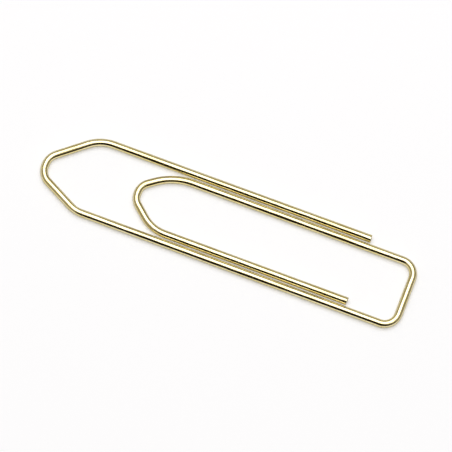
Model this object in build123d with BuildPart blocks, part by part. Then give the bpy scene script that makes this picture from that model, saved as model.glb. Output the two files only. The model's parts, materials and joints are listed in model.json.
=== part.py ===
"""Pointed paper clip bent from one round wire. It is cut into four lengths where the wire flexes, so that each
length is a solid of its own. Millimetres, +Z up: the clip lies flat on Z = 0, its length along X, with the
pointed end towards -X and the square end towards +X. Bend radii are measured to the middle of the wire."""

import os
from math import asin, atan2, hypot, tan

from build123d import *

# Wire and overall size
wire_diameter = 1.0
clip_length = 50.0  # over the outer tip and the square end
clip_width = 11.0  # over the two outermost legs
leg_gap = 0.2  # clear space between two legs that lie side by side

# Pointed end of the outer loop
outer_point_free_side = 5.4  # from the tip to the shoulder on the free leg, along X
outer_point_long_side = 5.8  # from the tip to the shoulder on the long leg, along X
outer_tip_offset = 0.6  # the tip lies this far off the middle, towards the long leg
outer_tip_flat = 0.2  # straight wire across the tip
outer_tip_radius = 2.15
free_shoulder_radius = 5.0
long_shoulder_radius = 4.0

# Pointed end of the inner loop
inner_tip_setback = 12.4  # from the outer tip to the inner tip
inner_point_inner_side = 3.6  # from the tip to the shoulder on the inner leg, along X
inner_point_free_side = 3.4  # from the tip to the shoulder on the inner free leg, along X
inner_tip_offset = 0.1  # the tip lies this far off the middle, towards the outer free leg
inner_tip_flat = 0.2
inner_tip_radius = 1.9
inner_shoulder_radius = 8.0
inner_free_shoulder_radius = 5.0

# Square end and cut ends
square_corner_radius = 1.9
outer_end_setback = 7.1  # from the square end's outer edge to the cut end
inner_end_setback = 7.1
cut_edge_radius = 0.1  # rolled edge of a cut end

# Lines that the wire follows
wire_radius = wire_diameter / 2
outer_leg_y = clip_width / 2 - wire_radius
inner_leg_y = outer_leg_y - wire_diameter - leg_gap
square_end_x = clip_length / 2 - wire_radius
outer_tip_x = -square_end_x
inner_tip_x = outer_tip_x + inner_tip_setback
wire_plane = Plane.XY.offset(wire_radius)


def tip_corner(shoulder, tip_x, flat_end_y, bend_radius):
    """The corner where a slanted side meets the line of its tip, so that the bend there ends at flat_end_y."""
    shoulder_x, shoulder_y = shoulder
    centre_x = tip_x + bend_radius - shoulder_x
    centre_y = flat_end_y - shoulder_y
    lean = asin(bend_radius / hypot(centre_x, centre_y))
    side = 1 if shoulder_y > flat_end_y else -1
    slant = atan2(centre_y, centre_x) - side * lean
    return (tip_x, shoulder_y + (tip_x - shoulder_x) * tan(slant))


# Corners of the outer loop, from the outer cut end round to the square end
outer_cut_end = (clip_length / 2 - outer_end_setback, outer_leg_y)
free_shoulder = (outer_tip_x + outer_point_free_side, outer_leg_y)
outer_tip = (outer_tip_x, -outer_tip_offset)
outer_tip_free_corner = tip_corner(
    free_shoulder, outer_tip_x, outer_tip_flat / 2 - outer_tip_offset, outer_tip_radius
)
long_shoulder = (outer_tip_x + outer_point_long_side, -outer_leg_y)
outer_tip_long_corner = tip_corner(
    long_shoulder, outer_tip_x, -outer_tip_flat / 2 - outer_tip_offset, outer_tip_radius
)
long_square_corner = (square_end_x, -outer_leg_y)
square_end_middle = (square_end_x, (inner_leg_y - outer_leg_y) / 2)

# Corners of the inner loop, from the square end round to the inner cut end
inner_square_corner = (square_end_x, inner_leg_y)
inner_shoulder = (inner_tip_x + inner_point_inner_side, inner_leg_y)
inner_tip = (inner_tip_x, inner_tip_offset)
inner_tip_inner_corner = tip_corner(
    inner_shoulder, inner_tip_x, inner_tip_offset + inner_tip_flat / 2, inner_tip_radius
)
inner_free_shoulder = (inner_tip_x + inner_point_free_side, -inner_leg_y)
inner_tip_free_corner = tip_corner(
    inner_free_shoulder, inner_tip_x, inner_tip_offset - inner_tip_flat / 2, inner_tip_radius
)
inner_cut_end = (clip_length / 2 - inner_end_setback, -inner_leg_y)


def start_plane(path):
    """The plane square to a path at its first point."""
    return Plane(origin=path.line @ 0, z_dir=path.line % 0)


# Outer loop: half of the outer tip, the long leg, a corner and half of the square end
with BuildPart() as outer_loop:
    with BuildLine(wire_plane) as outer_loop_path:
        FilletPolyline(
            outer_tip,
            outer_tip_long_corner,
            long_shoulder,
            long_square_corner,
            square_end_middle,
            radius=[outer_tip_radius, long_shoulder_radius, square_corner_radius],
        )
    with BuildSketch(start_plane(outer_loop_path)):
        Circle(wire_radius)
    sweep(path=outer_loop_path.line)

# Outer free leg: the other half of the outer tip and the leg to the outer cut end
with BuildPart() as outer_free_leg:
    with BuildLine(wire_plane) as outer_free_leg_path:
        FilletPolyline(
            outer_tip,
            outer_tip_free_corner,
            free_shoulder,
            outer_cut_end,
            radius=[outer_tip_radius, free_shoulder_radius],
        )
    with BuildSketch(start_plane(outer_free_leg_path)):
        Circle(wire_radius)
    sweep(path=outer_free_leg_path.line)
    fillet(outer_free_leg.faces().sort_by(Axis.X)[-1].edges(), cut_edge_radius)

# Inner loop: the other half of the square end, its corner, the inner leg and half of the inner tip
with BuildPart() as inner_loop:
    with BuildLine(wire_plane) as inner_loop_path:
        FilletPolyline(
            square_end_middle,
            inner_square_corner,
            inner_shoulder,
            inner_tip_inner_corner,
            inner_tip,
            radius=[square_corner_radius, inner_shoulder_radius, inner_tip_radius],
        )
    with BuildSketch(start_plane(inner_loop_path)):
        Circle(wire_radius)
    sweep(path=inner_loop_path.line)

# Inner free leg: the other half of the inner tip and the leg to the inner cut end
with BuildPart() as inner_free_leg:
    with BuildLine(wire_plane) as inner_free_leg_path:
        FilletPolyline(
            inner_tip,
            inner_tip_free_corner,
            inner_free_shoulder,
            inner_cut_end,
            radius=[inner_tip_radius, inner_free_shoulder_radius],
        )
    with BuildSketch(start_plane(inner_free_leg_path)):
        Circle(wire_radius)
    sweep(path=inner_free_leg_path.line)
    fillet(inner_free_leg.faces().sort_by(Axis.X)[-1].edges(), cut_edge_radius)

# Each length of wire is written as its own file
os.makedirs("parts", exist_ok=True)
outer_loop.part.label = "outer_loop"
export_step(outer_loop.part, "parts/outer_loop.step")
outer_free_leg.part.label = "outer_free_leg"
export_step(outer_free_leg.part, "parts/outer_free_leg.step")
inner_loop.part.label = "inner_loop"
export_step(inner_loop.part, "parts/inner_loop.step")
inner_free_leg.part.label = "inner_free_leg"
export_step(inner_free_leg.part, "parts/inner_free_leg.step")

# The hinge points and the developed length of the wire
for path_name, path in (
    ("outer_free_leg", outer_free_leg_path),
    ("outer_loop", outer_loop_path),
    ("inner_loop", inner_loop_path),
    ("inner_free_leg", inner_free_leg_path),
):
    start = path.line @ 0
    run = sum(edge.length for edge in path.edges())
    print(f"{path_name}: starts at {start.X:.3f}, {start.Y:.3f}, {start.Z:.3f} and runs {run:.3f} mm")
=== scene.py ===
import json
import math

import bmesh
import bpy
from mathutils import Matrix, Vector


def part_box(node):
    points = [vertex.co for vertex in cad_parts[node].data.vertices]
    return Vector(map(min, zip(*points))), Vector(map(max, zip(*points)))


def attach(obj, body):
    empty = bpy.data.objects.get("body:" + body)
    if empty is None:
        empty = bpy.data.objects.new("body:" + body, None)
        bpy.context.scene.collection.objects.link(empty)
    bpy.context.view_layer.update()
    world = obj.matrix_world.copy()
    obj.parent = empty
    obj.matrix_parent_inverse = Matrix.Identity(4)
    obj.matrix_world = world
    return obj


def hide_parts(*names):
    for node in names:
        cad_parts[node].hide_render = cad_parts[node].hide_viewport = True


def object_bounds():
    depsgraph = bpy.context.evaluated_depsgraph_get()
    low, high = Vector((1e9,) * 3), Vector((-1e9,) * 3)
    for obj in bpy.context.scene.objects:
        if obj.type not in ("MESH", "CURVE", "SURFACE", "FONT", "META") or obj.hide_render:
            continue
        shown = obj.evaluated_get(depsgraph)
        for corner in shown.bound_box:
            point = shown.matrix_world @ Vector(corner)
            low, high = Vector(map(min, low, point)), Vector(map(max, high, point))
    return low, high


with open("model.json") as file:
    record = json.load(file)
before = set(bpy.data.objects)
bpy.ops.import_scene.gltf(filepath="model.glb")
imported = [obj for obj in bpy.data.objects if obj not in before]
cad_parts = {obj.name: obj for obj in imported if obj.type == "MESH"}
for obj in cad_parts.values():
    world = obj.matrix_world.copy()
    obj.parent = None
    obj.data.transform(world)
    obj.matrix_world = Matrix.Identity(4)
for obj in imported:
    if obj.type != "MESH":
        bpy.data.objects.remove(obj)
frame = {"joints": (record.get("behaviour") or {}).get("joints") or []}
cadLow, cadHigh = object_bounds()  # the CAD box
mm = 0.001
print("frame loaded")

# where the CAD puts the wire
hinge = {joint["name"]: Vector(joint["pos_m"]).to_2d() for joint in frame["joints"]}
outerTip = hinge["outer_leg_lift"]
innerTip = hinge["inner_leg_lift"]
squareMiddle = hinge["inner_loop_lift"]
wireRadius = (cadHigh.z - cadLow.z) / 2
freeLegY = cadHigh.y - wireRadius
longLegY = cadLow.y + wireRadius
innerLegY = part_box("inner_loop")[1].y - wireRadius
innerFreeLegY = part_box("inner_free_leg")[0].y + wireRadius
outerCutEnd = Vector((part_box("outer_free_leg")[1].x, freeLegY))
innerCutEnd = Vector((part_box("inner_free_leg")[1].x, innerFreeLegY))

wireStock = {
    "sides": 40,  # faces round the wire
    "straightStep": 1.0 * mm,  # longest face on a straight run
    "arcStep": math.radians(4),  # turn of one face in a bend
    "pinFlat": 0.045,  # how far the bending pin presses the inside of a bend, in wire radii
    "backFlat": 0.02,  # the same on the outside
    "flatFade": 0.35,  # share of a bend over which the flat fades out
    "hingeRoom": 0.0001 * mm,  # each end face at a hinge stands back this far
}

cutEnd = {
    "roll": 0.09 * mm,  # rounded rim left by the shear
    "rollSegments": 4,
    "lean": math.radians(5),  # slope of the cut across the wire
    "leanReach": 0.5 * mm,  # how far back the wire follows that slope
    "rings": 5,  # relief rings on the cut face
    "middle": 0.5,  # radius of the disc inside them, in ring widths
    "breakDepth": 0.035 * mm,  # the torn part lies deeper than the sheared part
    "breakLine": -0.1,  # height of the line between them, in wire radii
    "breakSoft": 0.35,  # width of that line, in wire radii
    "rimFade": 0.3,  # the relief fades out this near the rim, in wire radii
}


# a straight piece of wire with its bends marked, from the corners that it has to go round
def planWire(corners, radii):
    legs = [after - before for before, after in zip(corners, corners[1:])]
    turns = [math.atan2(a.x * b.y - a.y * b.x, a.dot(b)) for a, b in zip(legs, legs[1:])]
    trims = [0.0] + [r * math.tan(turn / 2) for r, turn in zip(radii, turns)] + [0.0]
    steps = []
    bends = []
    done = 0.0
    for i, leg in enumerate(legs):
        feed = leg.length - trims[i] - trims[i + 1]
        count = math.ceil(feed / wireStock["straightStep"])
        steps += [feed / count] * count
        done += feed
        if i < len(turns):
            arc = radii[i] * turns[i]
            count = math.ceil(turns[i] / wireStock["arcStep"])
            steps += [arc / count] * count
            bends.append({"start": done, "radius": radii[i], "turn": turns[i]})
            done += arc
    return steps, bends, done


# a straight open tube along X, one ring for each step
def drawWire(bm, steps):
    bmesh.ops.create_circle(
        bm,
        cap_ends=False,
        radius=wireRadius,
        segments=wireStock["sides"],
        matrix=Matrix.Rotation(math.pi / 2, 4, "Y"),
    )
    firstRing = bm.edges[:]
    lastRing = firstRing
    for step in steps:
        made = bmesh.ops.extrude_edge_only(bm, edges=lastRing)["geom"]
        lastRing = [part for part in made if isinstance(part, bmesh.types.BMEdge)]
        verts = [part for part in made if isinstance(part, bmesh.types.BMVert)]
        bmesh.ops.translate(bm, vec=(step, 0, 0), verts=verts)
    return firstRing, lastRing


def smoothRise(x):
    x = min(max(x, 0.0), 1.0)
    return x * x * (3 - 2 * x)


# the sheared end of the wire: a rolled rim, a leaning face, and a torn half that lies deeper
def shearEnd(bm, rim, outward):
    endX = rim[0].verts[0].co.x
    bmesh.ops.holes_fill(bm, edges=rim)
    bmesh.ops.bevel(
        bm,
        geom=rim,
        offset=cutEnd["roll"],
        affect="EDGES",
        segments=cutEnd["rollSegments"],
        profile=0.5,
        material=-1,
    )
    bm.normal_update()
    # the cut face has the most corners and looks out of this end
    face = max(bm.faces, key=lambda f: (len(f.verts), f.normal.x * outward))
    cutFaces = [face]
    ringWidth = (wireRadius - cutEnd["roll"]) / (cutEnd["rings"] + cutEnd["middle"])
    for _ in range(cutEnd["rings"]):
        inset = bmesh.ops.inset_region(bm, faces=[face], thickness=ringWidth, use_even_offset=True)
        cutFaces += inset["faces"]
    for f in cutFaces:
        f.material_index = 1
    for v in {v for f in cutFaces for v in f.verts}:
        height = v.co.z / wireRadius - cutEnd["breakLine"]
        fromRim = 1 - math.hypot(v.co.y, v.co.z) / wireRadius
        torn = smoothRise(-height / cutEnd["breakSoft"]) * smoothRise(fromRim / cutEnd["rimFade"])
        v.co.x -= outward * cutEnd["breakDepth"] * torn
    lean = math.tan(cutEnd["lean"])
    for v in bm.verts:
        near = 1 - abs(v.co.x - endX) / cutEnd["leanReach"]
        if near > 0:
            v.co.x -= outward * lean * (wireRadius - v.co.y) * near
    return cutFaces


# a blunt face where two lengths of wire meet at a hinge, with a hair's room to turn on each other
def closeHinge(bm, rim, outward):
    bmesh.ops.holes_fill(bm, edges=rim)
    verts = list({v for edge in rim for v in edge.verts})
    bmesh.ops.translate(bm, vec=(-outward * wireStock["hingeRoom"], 0, 0), verts=verts)
    for edge in rim:
        edge.smooth = False


# wind everything past a bend round its pin, which stands on the left of the wire
def bendWire(bm, bend, along, strain):
    arc = bend["radius"] * bend["turn"]
    pin = Vector((bend["start"], bend["radius"], 0))
    fade = wireStock["flatFade"] * arc
    for v in bm.verts:
        past = v[along].x - bend["start"]
        if past <= 0:
            continue
        inside = v.co.y / wireRadius
        if past < arc:
            press = smoothRise(past / fade) * smoothRise((arc - past) / fade)
            flat = wireStock["pinFlat"] if inside > 0 else wireStock["backFlat"]
            v.co.y -= press * flat * inside * abs(inside) * wireRadius
            # the plating is stretched on the outside and crushed on the inside
            v[strain] = -press * inside * wireRadius / bend["radius"]
        turned = min(past, arc) / bend["radius"]
        v.co.x -= turned * bend["radius"]
        v.co = pin + Matrix.Rotation(turned, 3, "Z") @ (v.co - pin)


def makeWire(name, corners, radii, alreadyFed, startCut=False, endCut=False):
    steps, bends, length = planWire(corners, radii)
    bm = bmesh.new()
    along = bm.verts.layers.float_vector.new("straightWire")
    strain = bm.verts.layers.float.new("bendStrain")
    firstRing, lastRing = drawWire(bm, steps)
    flatFaces = []
    for rim, cut, outward in ((firstRing, startCut, -1), (lastRing, endCut, 1)):
        if cut:
            flatFaces += shearEnd(bm, rim, outward)
        else:
            closeHinge(bm, rim, outward)
    bmesh.ops.recalc_face_normals(bm, faces=bm.faces)
    for f in bm.faces:
        f.smooth = True
    for f in flatFaces:
        f.smooth = False
    for v in bm.verts:
        v[along] = v.co
    for bend in reversed(bends):
        bendWire(bm, bend, along, strain)
    for v in bm.verts:  # the marks follow the whole wire, in millimetres
        v[along] = (v[along] + Vector((alreadyFed, 0, 0))) / mm
    heading = corners[1] - corners[0]
    place = Matrix.Translation((corners[0].x, corners[0].y, cadLow.z + wireRadius))
    turn = Matrix.Rotation(math.atan2(heading.y, heading.x), 4, "Z")
    bmesh.ops.transform(bm, matrix=place @ turn, verts=bm.verts)
    mesh = bpy.data.meshes.new(name)
    bm.to_mesh(mesh)
    bm.free()
    piece = bpy.data.objects.new(name, mesh)
    bpy.context.scene.collection.objects.link(piece)
    mesh.materials.append(brassPlate)
    mesh.materials.append(bareSteel)
    print(name, "wire length", round(length / mm, 2), "mm,", len(mesh.polygons), "faces")
    return piece, alreadyFed + length


# where a slanted side meets the line of its tip, so that the bend there ends where the flat begins
def tipCorner(shoulder, tip, flat, radius):
    side = 1 if shoulder.y > tip.y else -1
    centre = tip + Vector((radius, side * flat / 2)) - shoulder
    slant = math.atan2(centre.y, centre.x) - side * math.asin(radius / centre.length)
    return Vector((tip.x, shoulder.y + (tip.x - shoulder.x) * math.tan(slant)))


# a new node with some of its inputs set
def addNode(tree, kind, **inputs):
    node = tree.nodes.new(kind)
    for key, value in inputs.items():
        node.inputs[key].default_value = value
    return node


# links another node's output, or sets a plain value
def setInput(tree, socket, value):
    if isinstance(value, bpy.types.NodeSocket):
        tree.links.new(value, socket)
    elif socket.type == "RGBA":
        socket.default_value = (*value, 1.0)
    else:
        socket.default_value = value


def rescale(tree, source, low, high, newLow, newHigh):
    node = addNode(tree, "ShaderNodeMapRange")
    node.interpolation_type = "SMOOTHSTEP"
    for socket, value in zip(node.inputs, (source, low, high, newLow, newHigh)):
        setInput(tree, socket, value)
    return node.outputs["Result"]


def calculate(tree, operation, first, second):
    node = addNode(tree, "ShaderNodeMath")
    node.operation = operation
    for socket, value in zip(node.inputs, (first, second)):
        setInput(tree, socket, value)
    return node.outputs["Value"]


def blendColours(tree, factor, first, second):
    node = addNode(tree, "ShaderNodeMix")
    node.data_type = "RGBA"
    tree.links.new(factor, node.inputs["Factor"])
    sockets = [s for s in node.inputs if s.type == "RGBA"]
    for socket, value in zip(sockets, (first, second)):
        setInput(tree, socket, value)
    return [s for s in node.outputs if s.type == "RGBA"][0]


def newMaterial(name):
    material = bpy.data.materials.new(name)
    material.use_nodes = True
    tree = material.node_tree
    return material, tree, tree.nodes["Principled BSDF"]


# a mark that the mesh carries along the wire
def readMark(tree, name):
    node = addNode(tree, "ShaderNodeAttribute")
    node.attribute_name = name
    return node.outputs


surfaceMarks = {
    "lineDetail": 4.0,
    "lineGrain": 0.6,
    "lineLevels": (0.3, 0.7),  # noise that gives no line, and a full line
    "speckDetail": 2.0,
    "speckGrain": 0.5,
    "speckLevels": (0.64, 0.74),  # only the highest noise gives a speck
}


# fine lines along one direction, with a few pits and specks, for the drawn wire and for the sheared face
def makeFineLines():
    group = bpy.data.node_groups.new("fineLines", "ShaderNodeTree")
    for name, side, kind in (
        ("Vector", "INPUT", "NodeSocketVector"),
        ("Stretch", "INPUT", "NodeSocketVector"),
        ("Speck Scale", "INPUT", "NodeSocketFloat"),
        ("Lines", "OUTPUT", "NodeSocketFloat"),
        ("Specks", "OUTPUT", "NodeSocketFloat"),
    ):
        group.interface.new_socket(name=name, in_out=side, socket_type=kind)
    entry = group.nodes.new("NodeGroupInput")
    leave = group.nodes.new("NodeGroupOutput")
    stretch = addNode(group, "ShaderNodeVectorMath")
    stretch.operation = "MULTIPLY"
    group.links.new(entry.outputs["Vector"], stretch.inputs[0])
    group.links.new(entry.outputs["Stretch"], stretch.inputs[1])
    noise = addNode(
        group,
        "ShaderNodeTexNoise",
        Scale=1.0,
        Detail=surfaceMarks["lineDetail"],
        Roughness=surfaceMarks["lineGrain"],
    )
    group.links.new(stretch.outputs["Vector"], noise.inputs["Vector"])
    lines = rescale(group, noise.outputs["Fac"], *surfaceMarks["lineLevels"], 0.0, 1.0)
    group.links.new(lines, leave.inputs["Lines"])
    noise = addNode(
        group,
        "ShaderNodeTexNoise",
        Detail=surfaceMarks["speckDetail"],
        Roughness=surfaceMarks["speckGrain"],
    )
    group.links.new(entry.outputs["Vector"], noise.inputs["Vector"])
    group.links.new(entry.outputs["Speck Scale"], noise.inputs["Scale"])
    specks = rescale(group, noise.outputs["Fac"], *surfaceMarks["speckLevels"], 0.0, 1.0)
    group.links.new(specks, leave.inputs["Specks"])
    return group


def placeFineLines(tree, wire, stretch):
    marks = addNode(tree, "ShaderNodeGroup")
    marks.node_tree = fineLines
    marks.inputs["Stretch"].default_value = stretch
    tree.links.new(wire, marks.inputs["Vector"])
    return marks


def addScratches(tree, shader, height, depth):
    bump = addNode(tree, "ShaderNodeBump", Strength=1.0, Distance=depth)
    tree.links.new(height, bump.inputs["Height"])
    tree.links.new(bump.outputs["Normal"], shader.inputs["Normal"])


brass = {
    "light": (0.88, 0.79, 0.50),
    "deep": (0.80, 0.685, 0.32),
    "tarnish": (0.40, 0.27, 0.10),
    "pale": (0.90, 0.82, 0.56),
    "grazingTint": (0.1, 0.08, 0.05),
    "lineStretch": (0.12, 5.0, 5.0),  # lines a few millimetres long and a fifth of a millimetre apart
    "lineDeepens": 0.45,
    "blotchScale": 0.28,
    "blotchDetail": 3.0,
    "blotchGrain": 0.55,
    "blotchLevels": (0.35, 0.65),  # noise that gives no blotch, and a full blotch
    "blotchDeepens": 0.55,
    "stretchLevels": (0.05, 0.3),  # strain at which the plating starts to pale, and is palest
    "stretchPales": 0.45,
    "stretchRoughens": 0.10,
    "speckScale": 3.2,
    "speckTarnishes": 0.5,
    "speckRoughens": 0.18,
    "roughness": (0.08, 0.14),  # between the lines, and on them
    "scratchDepth": 0.004 * mm,
}


def makeBrass():
    material, tree, shader = newMaterial("brassPlate")
    shader.inputs["Metallic"].default_value = 1.0
    shader.inputs["Specular Tint"].default_value = (*brass["grazingTint"], 1.0)
    wire = readMark(tree, "straightWire")["Vector"]
    strain = readMark(tree, "bendStrain")["Fac"]
    marks = placeFineLines(tree, wire, brass["lineStretch"])
    marks.inputs["Speck Scale"].default_value = brass["speckScale"]
    lines = marks.outputs["Lines"]
    specks = marks.outputs["Specks"]
    noise = addNode(
        tree,
        "ShaderNodeTexNoise",
        Scale=brass["blotchScale"],
        Detail=brass["blotchDetail"],
        Roughness=brass["blotchGrain"],
    )
    tree.links.new(wire, noise.inputs["Vector"])
    blotch = rescale(tree, noise.outputs["Fac"], *brass["blotchLevels"], 0.0, brass["blotchDeepens"])
    depth = calculate(tree, "MULTIPLY", lines, brass["lineDeepens"])
    depth = calculate(tree, "ADD", depth, blotch)
    colour = blendColours(tree, depth, brass["light"], brass["deep"])
    paled = rescale(tree, strain, *brass["stretchLevels"], 0.0, brass["stretchPales"])
    colour = blendColours(tree, paled, colour, brass["pale"])
    tarnished = calculate(tree, "MULTIPLY", specks, brass["speckTarnishes"])
    colour = blendColours(tree, tarnished, colour, brass["tarnish"])
    tree.links.new(colour, shader.inputs["Base Color"])
    rough = rescale(tree, lines, 0.0, 1.0, *brass["roughness"])
    stretched = rescale(tree, strain, *brass["stretchLevels"], 0.0, brass["stretchRoughens"])
    rough = calculate(tree, "ADD", rough, stretched)
    pitted = calculate(tree, "MULTIPLY", specks, brass["speckRoughens"])
    rough = calculate(tree, "ADD", rough, pitted)
    tree.links.new(rough, shader.inputs["Roughness"])
    addScratches(tree, shader, calculate(tree, "SUBTRACT", lines, specks), brass["scratchDepth"])
    return material


steel = {
    "light": (0.60, 0.58, 0.55),
    "dark": (0.34, 0.32, 0.30),
    "lineStretch": (3.0, 14.0, 1.2),  # the blade drags its lines across the face
    "roughness": (0.28, 0.45),  # between the lines, and on them
    "scratchDepth": 0.006 * mm,
}


def makeSteel():
    material, tree, shader = newMaterial("bareSteel")
    shader.inputs["Metallic"].default_value = 1.0
    wire = readMark(tree, "straightWire")["Vector"]
    lines = placeFineLines(tree, wire, steel["lineStretch"]).outputs["Lines"]
    colour = blendColours(tree, lines, steel["light"], steel["dark"])
    tree.links.new(colour, shader.inputs["Base Color"])
    rough = rescale(tree, lines, 0.0, 1.0, *steel["roughness"])
    tree.links.new(rough, shader.inputs["Roughness"])
    addScratches(tree, shader, lines, steel["scratchDepth"])
    return material


fineLines = makeFineLines()
brassPlate = makeBrass()
bareSteel = makeSteel()
print("materials made")

# the four lengths of wire, in the order in which the wire runs
outerFreeLeg = {
    "point": 5.4 * mm,  # from the tip to the shoulder, along X
    "tipFlat": 0.2 * mm,  # straight run across the tip, which the hinge halves
    "tipRadius": 2.15 * mm,
    "shoulderRadius": 5.0 * mm,
}
shoulder = Vector((outerTip.x + outerFreeLeg["point"], freeLegY))
corner = tipCorner(shoulder, outerTip, outerFreeLeg["tipFlat"], outerFreeLeg["tipRadius"])
outerFreeLegWire, fed = makeWire(
    "outerFreeLegWire",
    [outerCutEnd, shoulder, corner, outerTip],
    [outerFreeLeg["shoulderRadius"], outerFreeLeg["tipRadius"]],
    0.0,
    startCut=True,
)

outerLoop = {
    "point": 5.8 * mm,
    "tipFlat": 0.2 * mm,
    "tipRadius": 2.15 * mm,
    "shoulderRadius": 4.0 * mm,
    "cornerRadius": 1.9 * mm,
}
shoulder = Vector((outerTip.x + outerLoop["point"], longLegY))
corner = tipCorner(shoulder, outerTip, outerLoop["tipFlat"], outerLoop["tipRadius"])
outerLoopWire, fed = makeWire(
    "outerLoopWire",
    [outerTip, corner, shoulder, Vector((squareMiddle.x, longLegY)), squareMiddle],
    [outerLoop["tipRadius"], outerLoop["shoulderRadius"], outerLoop["cornerRadius"]],
    fed,
)

innerLoop = {
    "point": 3.6 * mm,
    "tipFlat": 0.2 * mm,
    "tipRadius": 1.9 * mm,
    "shoulderRadius": 8.0 * mm,
    "cornerRadius": 1.9 * mm,
}
shoulder = Vector((innerTip.x + innerLoop["point"], innerLegY))
corner = tipCorner(shoulder, innerTip, innerLoop["tipFlat"], innerLoop["tipRadius"])
innerLoopWire, fed = makeWire(
    "innerLoopWire",
    [squareMiddle, Vector((squareMiddle.x, innerLegY)), shoulder, corner, innerTip],
    [innerLoop["cornerRadius"], innerLoop["shoulderRadius"], innerLoop["tipRadius"]],
    fed,
)

innerFreeLeg = {
    "point": 3.4 * mm,
    "tipFlat": 0.2 * mm,
    "tipRadius": 1.9 * mm,
    "shoulderRadius": 5.0 * mm,
}
shoulder = Vector((innerTip.x + innerFreeLeg["point"], innerFreeLegY))
corner = tipCorner(shoulder, innerTip, innerFreeLeg["tipFlat"], innerFreeLeg["tipRadius"])
innerFreeLegWire, fed = makeWire(
    "innerFreeLegWire",
    [innerTip, corner, shoulder, innerCutEnd],
    [innerFreeLeg["tipRadius"], innerFreeLeg["shoulderRadius"]],
    fed,
    endCut=True,
)

for piece, node in (
    (outerFreeLegWire, "outer_free_leg"),
    (outerLoopWire, "outer_loop"),
    (innerLoopWire, "inner_loop"),
    (innerFreeLegWire, "inner_free_leg"),
):
    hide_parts(node)
    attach(piece, node)  # each body has its node's name
print("wire bent,", round(fed / mm, 1), "mm in all")

studio = {
    "floorSize": 3.0,
    "floorColour": (0.93, 0.93, 0.93),
    "floorRoughness": 0.7,
    "floorShine": 0.2,
    "floorGlow": 0.26,  # lifts the floor to white in the picture and in the wire, and lights nothing
    "glowColour": (1.0, 1.0, 1.0),
    "azimuth": math.radians(21),
    "elevation": math.radians(73),
    "lens": 250.0,
    "sensor": 36.0,
    "frameWidth": 57.5 * mm,
    "nearest": 5 * mm,
    "farthest": 20.0,
    "boxAzimuth": math.radians(-165),
    "boxElevation": math.radians(79),
    "boxDistance": 0.62,
    "boxSize": (0.62, 0.62),
    "boxPower": 2.6,
    "boxColour": (0.955, 0.99, 1.105),
    "roomColour": (0.378, 0.344, 0.275),
    "darkColour": (0.010, 0.006, 0.002),
    "darkAzimuth": math.radians(70),
    "darkElevation": math.radians(5),
    "darkReach": (math.radians(78), math.radians(105)),  # full up to the first, none past the second
    "brightAzimuth": math.radians(120),
    "brightElevation": math.radians(60),
    "brightReach": (math.radians(36), math.radians(56)),  # the same for the bright patch
}


def makeFloor():
    bm = bmesh.new()
    bmesh.ops.create_grid(bm, x_segments=1, y_segments=1, size=studio["floorSize"] / 2)
    mesh = bpy.data.meshes.new("floor")
    bm.to_mesh(mesh)
    bm.free()
    floor = bpy.data.objects.new("floor", mesh)
    bpy.context.scene.collection.objects.link(floor)
    material, tree, shader = newMaterial("paleFloor")
    shader.inputs["Base Color"].default_value = (*studio["floorColour"], 1.0)
    shader.inputs["Roughness"].default_value = studio["floorRoughness"]
    shader.inputs["Specular IOR Level"].default_value = studio["floorShine"]
    shader.inputs["Emission Color"].default_value = (*studio["glowColour"], 1.0)
    rays = addNode(tree, "ShaderNodeLightPath")
    seen = calculate(tree, "MAXIMUM", rays.outputs["Is Camera Ray"], rays.outputs["Is Glossy Ray"])
    seen = calculate(tree, "MAXIMUM", seen, rays.outputs["Is Transmission Ray"])
    glow = calculate(tree, "MULTIPLY", seen, studio["floorGlow"])
    tree.links.new(glow, shader.inputs["Emission Strength"])
    mesh.materials.append(material)


# the way from the clip towards a camera or a lamp, with azimuth 0 in front and turning to the right
def wayTo(azimuth, elevation):
    level = math.cos(elevation)
    return Vector((math.sin(azimuth) * level, -math.cos(azimuth) * level, math.sin(elevation)))


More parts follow.
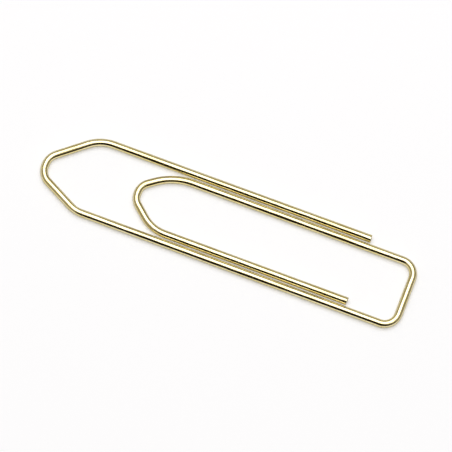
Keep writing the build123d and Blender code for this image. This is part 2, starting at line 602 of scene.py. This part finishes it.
# a camera or a lamp that looks back along its way
def standOff(name, data, target, way, distance):
    holder = bpy.data.objects.new(name, data)
    holder.location = target + way * distance
    holder.rotation_euler = (-way).to_track_quat("-Z", "Y").to_euler()
    bpy.context.scene.collection.objects.link(holder)
    return holder


# a warm pale room, dark in front and on the right, with a patch high on the right that stays bright
def makeWorld():
    world = bpy.data.worlds.new("studio")
    bpy.context.scene.world = world
    world.use_nodes = True
    tree = world.node_tree
    way = addNode(tree, "ShaderNodeTexCoord")
    shares = {}
    for side in ("dark", "bright"):
        near = addNode(tree, "ShaderNodeVectorMath")
        near.operation = "DOT_PRODUCT"
        tree.links.new(way.outputs["Generated"], near.inputs[0])
        near.inputs[1].default_value = wayTo(studio[side + "Azimuth"], studio[side + "Elevation"])
        inner, outer = (math.cos(angle) for angle in studio[side + "Reach"])
        shares[side] = rescale(tree, near.outputs["Value"], outer, inner, 0.0, 1.0)
    share = calculate(tree, "SUBTRACT", 1.0, shares["bright"])
    share = calculate(tree, "MULTIPLY", share, shares["dark"])
    colour = blendColours(tree, share, studio["roomColour"], studio["darkColour"])
    tree.links.new(colour, tree.nodes["Background"].inputs["Color"])


def makeSoftBox():
    lamp = bpy.data.lights.new("softBox", "AREA")
    lamp.shape = "RECTANGLE"
    lamp.size, lamp.size_y = studio["boxSize"]
    lamp.energy = studio["boxPower"]
    lamp.color = studio["boxColour"]
    way = wayTo(studio["boxAzimuth"], studio["boxElevation"])
    standOff("softBox", lamp, Vector(), way, studio["boxDistance"])


def makeCamera():
    camera = bpy.data.cameras.new("camera")
    camera.lens = studio["lens"]
    camera.sensor_width = studio["sensor"]
    camera.clip_start = studio["nearest"]
    camera.clip_end = studio["farthest"]
    way = wayTo(studio["azimuth"], studio["elevation"])
    distance = studio["frameWidth"] * studio["lens"] / studio["sensor"]
    bpy.context.scene.camera = standOff("camera", camera, (cadLow + cadHigh) / 2, way, distance)


makeFloor()
makeWorld()
makeSoftBox()
makeCamera()
bpy.context.scene.view_settings.view_transform = "Standard"
print("studio ready")
